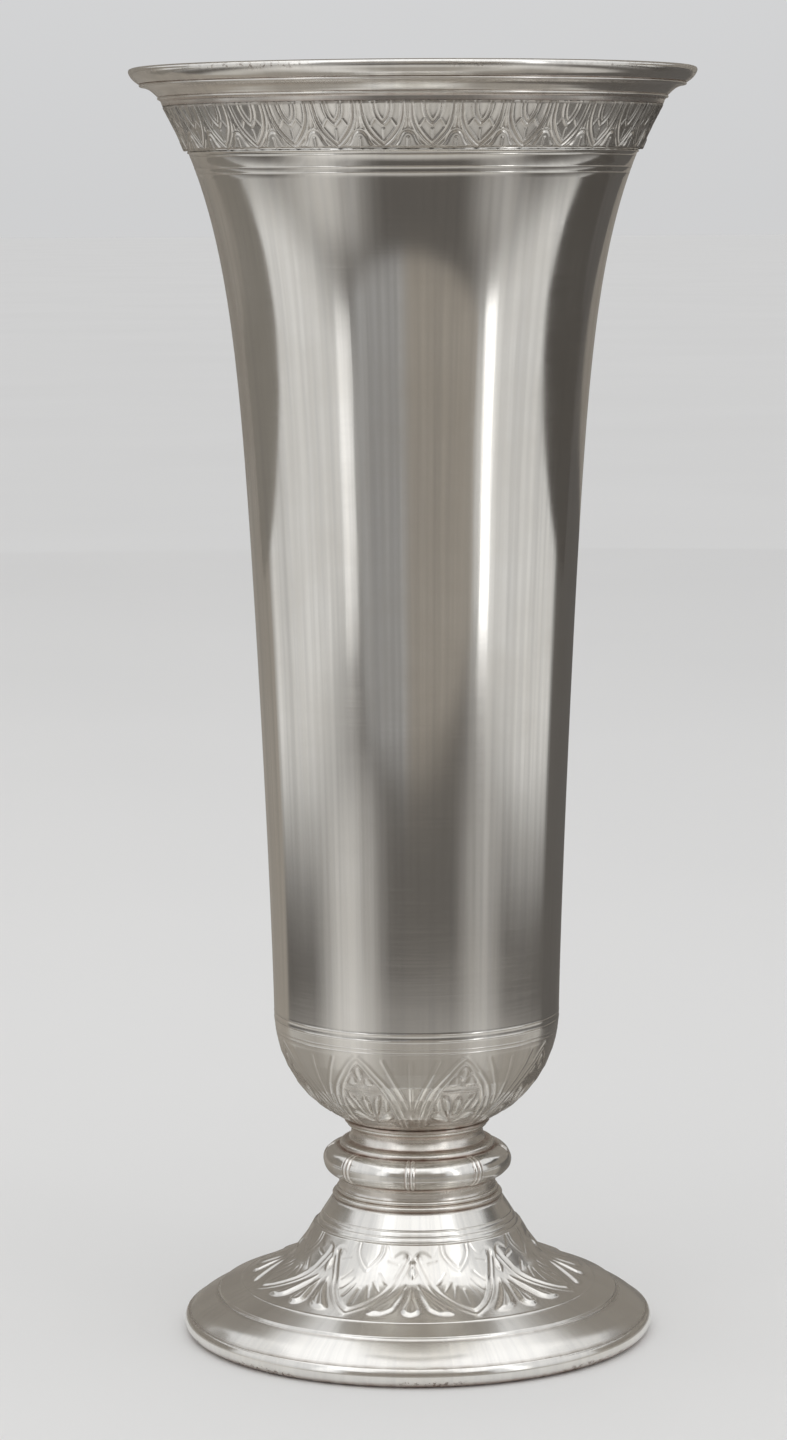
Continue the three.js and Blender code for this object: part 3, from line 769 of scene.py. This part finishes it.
def make_cup():
    low, high = np.radians(CUP_ARC)
    wide = (CUP_RADIUS - CUP_SEAT_RADIUS) / (math.cos(high) - math.cos(low))
    tall = (BODY_BOTTOM - CUP_SEAT) / (math.sin(high) - math.sin(low))
    centre = CUP_RADIUS - wide * math.cos(high), BODY_BOTTOM - tall * math.sin(high)
    wall = spread(arc(*centre, wide, tall, *CUP_ARC), spacing=0.4, closed=False)
    rings, angles = chased(wall, spacing=0.9, threads=CUP_THREADS, band=CUP_BAND, seams=(0.35, 0.0))
    few = angles[::COARSE]

    lap = CUP_RADIUS - BODY_GAUGE - LAP_GAP
    bore = lap - CUP_GAUGE
    floor_top = CUP_SEAT + CUP_FLOOR
    lining = beside(wall, -CUP_GAUGE)[::-6]
    lining = lining[(lining[:, 0] < bore) & (lining[:, 1] > floor_top + CUP_FLOOR)]
    foot = lining[-1, 0]
    middle = floor_top - FLOOR_DISH
    inner = joined(
        line((lap, BODY_BOTTOM), (lap, LAP_TOP), (bore, LAP_TOP), (bore, lining[0, 1] + CUP_GAUGE)),
        lining,
        curve((foot - 1.2, floor_top + 0.6), (foot - 4.0, floor_top), (3.0, middle)),
    )
    bottom = turn(line((6.0, CUP_SEAT), (CUP_SEAT_RADIUS - 0.4, CUP_SEAT)), few)
    rings = [pole(CUP_SEAT)] + bottom + rings + turn(inner, few, dull=WELL_DULL) + [pole(middle, WELL_DULL)]
    ring_piece("cup", rings, CHASED, SHARP_CHASED, closed=False)


FLANGE_STAIN = (2.1, 0.5)  # mm above the neck's foot, and half width


def make_neck_collar():
    """The outline's points are offsets from the flange's radius and the collar's foot."""
    bore = NECK_BORE - NECK_RADIUS
    outline = joined(
        line((bore, 0.0), (-0.1, 0.0)),
        arc(-1.5, 0.3, 1.5, 1.55, 0, 90),
        line((-1.9, 2.0)),
        curve((-2.85, 2.3), (-3.5, 3.707), (-3.8, 4.807), (-3.65, 5.807), (-3.25, 6.607)),
        arc(-3.05, 7.257, 0.6, 0.55, -90, 90),
        arc(-2.2, 8.407, 0.6, 0.57, -100, 90),
        line((bore, NECK_TOP - NECK_BOTTOM)),
    )
    fine = spread(eased(outline), TURNED_STEP)
    stain_level, stain_width = FLANGE_STAIN
    darkening = np.maximum(beside_ends(fine), 0.8 * bump(fine[:, 1:] - stain_level, stain_width))
    fine = fine + (NECK_RADIUS, NECK_BOTTOM)
    rings = turn(fine, ring_angles(COLUMNS), cavity=darkening, dull=STEM_DULL)
    ring_piece("neck_collar", rings, BRIGHT, SHARP_TURNED)


def make_knop(cad_node, side):
    """Half of the hollow knop, with its reeded ties; side is 1 for the upper half and -1 for the lower."""
    centre = KNOP_RADIUS - KNOP_ROLL
    ends = (0, 90) if side > 0 else (-90, 0)
    seams = (0.0, 0.9) if side > 0 else (0.9, 0.0)
    level = KNOP_MIDDLE + side * KNOP_ROLL
    roll = spread(arc(centre, KNOP_MIDDLE, KNOP_ROLL, KNOP_ROLL, *ends), spacing=0.25, closed=False)
    band = TIE_BAND | {"low": roll[0, 1], "high": roll[-1, 1]}
    rings, angles = chased(roll, spacing=0.5, threads=(), band=band, seams=seams)
    hollow = arc(centre, KNOP_MIDDLE, KNOP_ROLL - KNOP_GAUGE, KNOP_ROLL - KNOP_GAUGE, *ends[::-1])
    lips = line((KNOP_BORE, level), (KNOP_BORE, level - side * KNOP_GAUGE))
    inner = np.vstack([lips, hollow]) if side > 0 else np.vstack([hollow, lips[::-1]])
    rings += turn(inner, angles[::COARSE], dull=KNOP_DULL)
    ring_piece(cad_node, rings, BRIGHT, SHARP_CHASED)


def make_foot_collar():
    """The outline's points are offsets from the collar's radius and its foot."""
    bore, top = COLLAR_BORE - COLLAR_RADIUS, COLLAR_TOP - COLLAR_BOTTOM
    outline = joined(
        line((bore, 0.0)),
        arc(-0.5, 0.8, 1.15, 1.0, -53, 70),
        arc(-1.5, 2.5, 0.9, 0.8, -55, 90),
        curve((-1.3, 3.207), (-1.5, 4.207), (-1.4, 5.407), (-1.0, 6.407), (-0.3, top)),
        line((bore, top)),
    )
    fine = spread(eased(outline), TURNED_STEP) + (COLLAR_RADIUS, COLLAR_BOTTOM)
    rings = turn(fine, ring_angles(COLUMNS), cavity=beside_ends(fine), dull=STEM_DULL)
    ring_piece("foot_collar", rings, BRIGHT, SHARP_TURNED)


PLATE_SEAT = 24.5  # mm, radius of the flat inside the bell's top


def make_foot_bell():
    """The outline's levels are heights above the bell's edge."""
    top = BELL_TOP - BELL_EDGE
    flange = curve((BELL_RADIUS, 0.0), (70.3, 2.557), (66.9, 4.507), (64.0, 6.007))
    dish = curve(
        (63.4, 7.007), (62.2, 7.457), (54.0, 10.657), (45.2, 14.407), (40.5, 17.207), (37.6, 20.507),
        (34.6, 24.707), (31.0, 30.707), (27.0, top),
    )
    outside = joined(flange, dish) + (0.0, BELL_EDGE)
    rings, angles = chased(outside, spacing=1.1, threads=BELL_THREADS, band=FOOT_BAND, seams=(0.9, 0.6))
    ceiling = BELL_TOP - FOOT_GAUGE
    lining = beside(outside[::4], -FOOT_GAUGE)[::-1]
    lining = lining[lining[:, 1] < ceiling - 0.4]
    lining[-1, 1] = BELL_EDGE
    inner = joined(line((STUD_HOLE, BELL_TOP), (STUD_HOLE, ceiling), (PLATE_SEAT, ceiling)), lining)
    rings += turn(inner, angles[::COARSE], dull=HOLLOW_DULL)
    ring_piece("foot_bell", rings, CHASED, SHARP_CHASED)


WIRE_CORNER = 0.5
WIRE_SPECKS = (2.8, 1.6)  # mm above the floor where they end, and mm over which they fade
WIRE_DARKENING = (2.0, 1.5)  # the same for where it is darker towards the floor
SEAM_SPECKS = 0.5  # mm of specks beside the seam with the bell


def make_foot_wire():
    centre = FOOT_RADIUS - FOOT_ROLL
    roll = arc(centre, FLOOR + FOOT_ROLL, FOOT_ROLL, FOOT_ROLL, -90, FOOT_ROLL_TOP)
    inner = centre - FOOT_FLAT
    outline = joined(line((inner, FLOOR)), roll, line((inner, WIRE_TOP)))
    fine = spread(eased(outline, WIRE_CORNER), TURNED_STEP)
    r, z = fine.T
    in_sight = r > inner + 1
    # The face in sight is specked, and darker and browner towards the floor
    worn, darkening = (
        np.clip((end - z) / fade, 0, 1) * in_sight for end, fade in (WIRE_SPECKS, WIRE_DARKENING)
    )
    beside_seam = np.clip(1 - np.abs(z - WIRE_TOP) / SEAM_SPECKS, 0, 1)
    specks = np.maximum(3 * worn, 0.8 * beside_seam)
    cavity = np.minimum(darkening, 0.9)[:, None]
    rings = turn(fine, ring_angles(COLUMNS), cavity=cavity, specks=specks)
    ring_piece("foot_wire", rings, BRIGHT, SHARP_TURNED)


# Hardware inside the stem and the foot
HARDWARE_COLUMNS = 96
DISC_CORNER = 0.12
THREAD_PITCH = 1.0
THREAD_DEPTH = 0.5
THREAD_FLAT = 0.1  # share of each half turn that is flat, at the crest and at the root
POINT_IN, POINT_ALONG = 0.3, 0.2  # chamfer on the stud's ends
NUT_FACE = 0.95  # share of the flats' distance from the axis
NUT_CHAMFER = 30  # degrees
BORE_CHAMFER = 0.4
WASHER_SPLIT = 1.0
WASHER_LEAN = 0.12  # radians that the split slants from its bottom to its top
WASHER_CORNER = 0.25


def make_disc(cad_node, outer, bottom, top):
    """A flat turned disc with a stud hole and chamfered edges."""
    cut = EDGE_CHAMFER
    outline = line(
        (STUD_HOLE, bottom + cut), (STUD_HOLE + cut, bottom), (outer - cut, bottom), (outer, bottom + cut),
        (outer, top - cut / 2), (outer - cut / 2, top), (STUD_HOLE, top),
    )
    fine = spread(eased(outline, DISC_CORNER), spacing=0.8)
    ring_piece(cad_node, turn(fine, ring_angles(HARDWARE_COLUMNS)), BRASS, SHARP_MACHINED)


def make_stud():
    z = np.arange(STUD_BOTTOM + EDGE_CHAMFER, STUD_TOP - EDGE_CHAMFER, THREAD_PITCH / 10)
    angles = ring_angles(HARDWARE_COLUMNS // 2)
    phase = (z[:, None] / THREAD_PITCH - angles[None, :] / (2 * np.pi)) % 1
    cut = np.clip((np.abs(2 * phase - 1) - THREAD_FLAT) / (1 - 2 * THREAD_FLAT), 0, 1)
    shank = np.stack([np.full(len(z), STUD_RADIUS), z], 1)
    core = STUD_RADIUS - THREAD_DEPTH - 0.1
    first = turn(line((core - POINT_IN, STUD_BOTTOM), (core, STUD_BOTTOM + POINT_ALONG)), angles)
    last = turn(line((core, STUD_TOP - POINT_ALONG), (core - POINT_IN, STUD_TOP)), angles)
    rings = [pole(STUD_BOTTOM)] + first
    rings += turn(shank, angles, -THREAD_DEPTH * cut, cavity=0.8 * cut)
    rings += last + [pole(STUD_TOP)]
    ring_piece("tie_stud", rings, BRASS, SHARP_THREAD, closed=False)


def make_nut():
    angles = ring_angles(HARDWARE_COLUMNS, start=90)
    flats = NUT_RADIUS * math.cos(math.pi / 6)
    corner = flats / np.cos((angles - math.pi / 2) % (math.pi / 3) - math.pi / 6)
    face = NUT_FACE * flats
    fall = (corner - face) * math.tan(math.radians(NUT_CHAMFER))
    mouth = STUD_HOLE + EDGE_CHAMFER

    def hexagon(z):
        values = [corner * np.sin(angles), -corner * np.cos(angles), np.broadcast_to(z, angles.shape)]
        return np.stack(values + [np.zeros_like(angles)] * 3, 1)

    lower = line((STUD_HOLE, NUT_BOTTOM + BORE_CHAMFER), (mouth, NUT_BOTTOM), (face, NUT_BOTTOM))
    upper = line((face, NUT_TOP), (mouth, NUT_TOP), (STUD_HOLE, NUT_TOP - BORE_CHAMFER))
    rings = turn(lower, angles)
    rings += [hexagon(NUT_BOTTOM + fall), hexagon((NUT_BOTTOM + NUT_TOP) / 2), hexagon(NUT_TOP - fall)]
    rings += turn(upper, angles)
    ring_piece("hex_nut", rings, BRASS, SHARP_NUT)


def make_washer():
    """A spring washer: a rounded section swept round to a slanted split."""
    corners = line(
        (STUD_HOLE, WASHER_BOTTOM), (WASHER_RADIUS, WASHER_BOTTOM),
        (WASHER_RADIUS, WASHER_TOP), (STUD_HOLE, WASHER_TOP),
    )
    section = eased(corners, WASHER_CORNER)
    r, z = section.T
    count, size = HARDWARE_COLUMNS, len(section)
    gap = WASHER_SPLIT / 2 / r
    lean = WASHER_LEAN * (z - WASHER_BOTTOM) / (WASHER_TOP - WASHER_BOTTOM)
    share = np.linspace(0, 1, count)[:, None]
    angles = math.pi / 2 + lean + gap + share * (2 * np.pi - 2 * gap)
    points = np.stack([r * np.sin(angles), -r * np.cos(angles), np.broadcast_to(z, angles.shape)], 2)
    points = points.reshape(-1, 3)
    loop = np.arange(size)
    faces = [tuple(loop[::-1].tolist()), tuple((loop + (count - 1) * size).tolist())]
    for station in range(count - 1):
        a, b = loop + station * size, loop + (station + 1) * size
        faces += np.stack([b, np.roll(b, -1), np.roll(a, -1), a], 1).tolist()
    faces = [tuple(face[::-1]) for face in faces]
    mesh_piece("lock_washer", points, faces, {"cavity": np.zeros(len(points))}, STEEL, SHARP_MACHINED)


make_rim()
make_frieze()
make_trumpet()
make_cup()
make_neck_collar()
make_knop("knop_upper_half", 1)
make_knop("knop_lower_half", -1)
make_foot_collar()
make_foot_bell()
make_foot_wire()
make_disc("stud_boss", BOSS_RADIUS, BOSS_BOTTOM, BOSS_TOP)
make_disc("clamp_plate", PLATE_RADIUS, PLATE_BOTTOM, PLATE_TOP)
make_stud()
make_washer()
make_nut()


# Studio, in metres: a pale floor, a pale surround, soft lamps, and cards that only the polished metal sees
FLOOR_HALF = 40.0
HORIZON_LEVEL = 0.635
ZENITH_LEVEL = 0.8
SKY_TINT = (0.985, 0.99, 1.0, 1)
MATT = 0.9
CARD_LIFT = 0.002  # above the floor
CARD_REACH = 3.0
CARD_STEPS = 60
FRONT_REACH = 1.7
FLAG_REACH = 0.42
FLAG_BOTTOM = 0.19
FLAG_TOP = 0.27
FLAG_TAPER = 0.06

# Colours of the floor and the cards, each with a second one for its faint spots
FLOOR_PALE = (0.8, 0.795, 0.785, 1), (0.78, 0.775, 0.765, 1)
CARD_GREY = (0.36, 0.33, 0.29, 1), (0.3, 0.27, 0.235, 1)
CARD_PALE_GREY = (0.52, 0.5, 0.47, 1), (0.46, 0.44, 0.41, 1)
CARD_BROWN = (0.27, 0.25, 0.22, 1), (0.24, 0.22, 0.195, 1)
CARD_DARK = (0.1, 0.09, 0.08, 1), (0.085, 0.076, 0.068, 1)

# The table card: its colours, and the distances and angles over which one runs into another
TABLE_DARK = (0.095, 0.086, 0.077, 1)
TABLE_RING = (0.57, 0.55, 0.52, 1)
TABLE_NEAR = (0.345, 0.32, 0.285, 1)
TABLE_SIDE = (0.86, 0.85, 0.83, 1)
# Painted highlight: the pale colour of two streaks on the table card, which the cup and the lower body
# mirror as lamp light
TABLE_PAINTED_HIGHLIGHT = (0.8, 0.78, 0.75, 1)
FRONT_COOL = (0.37, 0.365, 0.36, 1)
FRONT_WARM = (0.36, 0.325, 0.28, 1)
HOLE_RADIUS = 0.085
NEAR_EDGE = (0.34, 0.24)
RING_EDGE = (0.52, 0.4)
SIDE_EDGE = (0.52, 1.1)
FRONT_EDGE = (0.79, 0.89)
FRONT_LEFT = (-41.0, -30.0)
FRONT_RIGHT = (45.0, 41.0)
FRONT_TURN = (-8.0, 2.0)
# Painted highlights on the table card, at about the strip lamps' angles, and the reach over which they fade
# out
PAINTED_HIGHLIGHTS = ((-50.0, 38.0, 0.8), (53.0, 26.0, 0.45))  # angle, half width and strength
PAINTED_HIGHLIGHT_END = (1.05, 0.7)
BACK_ANGLE = (116.0, 122.0)
BACK_TURN = (0.3, -0.3)
FOLD_START = (0.42, 0.6)


def plain_material(name, tones, scale):
    """A matt surface with a faint, broad change of tone."""
    material, tree, shader, place = new_material(name)
    spots = ranged(tree, noise(tree, place, scale, 3.0), 0.3, 0.7)
    fill(tree, shader, {"Base Color": mix(tree, spots, *tones), "Roughness": MATT})
    return material


def table_material(name):
    """A dark table top with folds: paler near the vase, at its sides and in two streaks that are painted
    highlights, grey in front.
    """
    material, tree, shader, place = new_material(name)
    apart = node(tree, "SeparateXYZ", {0: place})
    sideways = apart.outputs[0]
    ahead = math_node(tree, "MULTIPLY", apart.outputs[1], -1.0)
    angle = math_node(tree, "DEGREES", math_node(tree, "ARCTAN2", sideways, ahead))
    reach = node(tree, "VectorMath", {0: place}, operation="LENGTH").outputs["Value"]

    def absolute(value):
        return math_node(tree, "ABSOLUTE", value)

    def soft(value, start, end):
        sockets = {"Value": value, "From Min": start, "From Max": end}
        return node(tree, "MapRange", sockets, interpolation_type="SMOOTHSTEP").outputs[0]

    tone = mix(tree, soft(reach, *RING_EDGE), TABLE_DARK, TABLE_RING)
    tone = mix(tree, soft(reach, *NEAR_EDGE), tone, TABLE_NEAR)
    tone = mix(tree, soft(absolute(sideways), *SIDE_EDGE), tone, TABLE_SIDE)

    front = mix(tree, soft(angle, *FRONT_TURN), FRONT_COOL, FRONT_WARM)
    facing = product(tree, soft(angle, *FRONT_LEFT), soft(angle, *FRONT_RIGHT))
    tone = mix(tree, product(tree, facing, soft(ahead, *FRONT_EDGE)), tone, front)

    # Painted highlights: two pale streaks at about the strip lamps' angles, which the cup and the lower
    # body mirror
    for middle, half_width, strength in PAINTED_HIGHLIGHTS:
        off = absolute(math_node(tree, "SUBTRACT", angle, middle))
        painted_highlight = product(tree, soft(off, half_width, 0.0), soft(reach, *PAINTED_HIGHLIGHT_END))
        tone = mix(tree, product(tree, painted_highlight, strength), tone, TABLE_PAINTED_HIGHLIGHT)

    behind = mix(tree, soft(sideways, *BACK_TURN), TABLE_DARK, FRONT_WARM)
    tone = mix(tree, soft(absolute(angle), *BACK_ANGLE), tone, behind)

    outwards = node(tree, "VectorMath", {0: place}, operation="NORMALIZE").outputs["Vector"]
    folds = ranged(tree, noise(tree, outwards, 17.0, 3.0, 0.6), 0.4, 0.68, 0.0, 0.4)
    tone = mix(tree, product(tree, folds, soft(reach, *FOLD_START)), tone, TABLE_DARK)
    fill(tree, shader, {"Base Color": tone, "Roughness": MATT})
    return material


def stage_sheet(name, points, faces, material):
    mesh = bpy.data.meshes.new(name)
    mesh.from_pydata(points, [], faces)
    mesh.materials.append(material)
    sheet = bpy.data.objects.new(name, mesh)
    bpy.context.scene.collection.objects.link(sheet)
    return sheet


def card(name, material, azimuths, near, far, taper=0.0):
    """A card round part of the vase, between two angles in degrees.

    near and far are its edges' distance and height; the near edge rises by taper towards the second angle.
    """
    shares = np.linspace(0, 1, CARD_STEPS + 1)
    angles = np.radians(np.linspace(*azimuths, CARD_STEPS + 1))
    points = []
    for (distance, height), rise in ((near, taper), (far, 0.0)):
        for share, a in zip(shares, angles):
            z = height + CARD_LIFT + rise * share**2
            points.append((distance * math.sin(a), -distance * math.cos(a), z))
    faces = [(i, i + 1, i + CARD_STEPS + 2, i + CARD_STEPS + 1) for i in range(CARD_STEPS)]
    sheet = stage_sheet(name, points, faces, material)
    sheet.visible_camera = sheet.visible_diffuse = sheet.visible_shadow = False


def soft_lamp(name, azimuth, distance, height, aim_height, wide, tall, power):
    """A soft box at a height, turned to face a point on the vase's axis."""
    lamp = bpy.data.lights.new(name, "AREA")
    lamp.shape = "RECTANGLE"
    lamp.size, lamp.size_y, lamp.energy = wide, tall, power
    box = bpy.data.objects.new(name, lamp)
    bpy.context.scene.collection.objects.link(box)
    box.visible_camera = False
    a, e = math.radians(azimuth), math.atan2(height - aim_height, distance)
    place = Matrix.Translation((distance * math.sin(a), -distance * math.cos(a), height))
    box.matrix_world = place @ Matrix.Rotation(a, 4, "Z") @ Matrix.Rotation(math.pi / 2 - e, 4, "X")


def build_floor():
    h = FLOOR_HALF
    corners = [(-h, -h, 0), (h, -h, 0), (h, h, 0), (-h, h, 0)]
    stage_sheet("floor", corners, [(0, 1, 2, 3)], plain_material("floor_pale", FLOOR_PALE, 1.5))


def build_cards():
    """The dark room that the polished metal mirrors."""
    grey = plain_material("card_grey", CARD_GREY, 2.0)
    pale_grey = plain_material("card_pale_grey", CARD_PALE_GREY, 2.0)
    brown = plain_material("card_brown", CARD_BROWN, 3.0)
    dark = plain_material("card_dark", CARD_DARK, 2.0)
    table = table_material("card_table")
    card("table_card", table, (-180, 180), near=(HOLE_RADIUS, 0), far=(CARD_REACH, 0))
    card("camera_wall", grey, (-33, 38), near=(FRONT_REACH, 0), far=(FRONT_REACH, 0.75))
    card("front_flag_card", pale_grey, (-20, 22), near=(FRONT_REACH, 0.75), far=(FRONT_REACH, 1.75))
    card("back_wall", grey, (138, 222), near=(CARD_REACH, 0), far=(CARD_REACH, 3.2))
    card("left_wall", grey, (-138, -98), near=(CARD_REACH, 0), far=(CARD_REACH, 1.2))
    card("right_wall", grey, (98, 138), near=(CARD_REACH, 0), far=(CARD_REACH, 1.2))
    flag = {"near": (FLAG_REACH, FLAG_BOTTOM), "far": (FLAG_REACH, FLAG_TOP), "taper": FLAG_TAPER}
    card("left_flag_card", brown, (-128, -86), **flag)
    card("right_flag_card", dark, (128, 84), **flag)


def build_lights():
    strip = {"distance": 1.05, "height": 0.77, "aim_height": 0.77, "tall": 1.5}
    soft_lamp("left_strip", azimuth=-42, wide=0.18, power=0.36, **strip)
    soft_lamp("right_strip", azimuth=51, wide=0.13, power=0.65, **strip)
    soft_lamp("top_box", azimuth=0, distance=0.4, height=1.5, aim_height=0.1, wide=2.4, tall=3.0, power=8.0)

    world = bpy.data.worlds.new("studio")
    world.use_nodes = True
    tree = world.node_tree
    up = node(tree, "SeparateXYZ", {0: node(tree, "TexCoord").outputs["Generated"]}).outputs[2]
    level = ranged(tree, up, 0.0, 0.35, HORIZON_LEVEL, ZENITH_LEVEL)
    fill(tree, tree.nodes["Background"], {"Color": SKY_TINT, "Strength": level})
    bpy.context.scene.world = world


# Camera, solved from the rings' ellipses in the photograph; distances in metres, angles in degrees
CAMERA_DISTANCE = 1.3037
CAMERA_HEIGHT = 0.3591
CAMERA_AZIMUTH = 2.5
CAMERA_PITCH = 7.13
CAMERA_PAN = 0.303
CAMERA_ROLL = 0.28
LENS = 104.0
SENSOR = 36.0  # along the picture's height


def place_camera():
    data = bpy.data.cameras.new("photo_camera")
    data.sensor_fit = "VERTICAL"
    data.sensor_height = SENSOR
    data.lens = LENS
    camera = bpy.data.objects.new("photo_camera", data)
    bpy.context.scene.collection.objects.link(camera)
    a = math.radians(CAMERA_AZIMUTH)
    x, y = CAMERA_DISTANCE * math.sin(a), -CAMERA_DISTANCE * math.cos(a)
    place = Matrix.Translation((x, y, CAMERA_HEIGHT))
    facing = Matrix.Rotation(a + math.radians(CAMERA_PAN), 4, "Z")
    tilt = Matrix.Rotation(math.radians(90 - CAMERA_PITCH), 4, "X")
    roll = Matrix.Rotation(math.radians(-CAMERA_ROLL), 4, "Z")
    camera.matrix_world = place @ facing @ tilt @ roll
    bpy.context.scene.camera = camera


build_floor()
build_cards()
build_lights()
place_camera()
bpy.context.scene.view_settings.view_transform = "Standard"
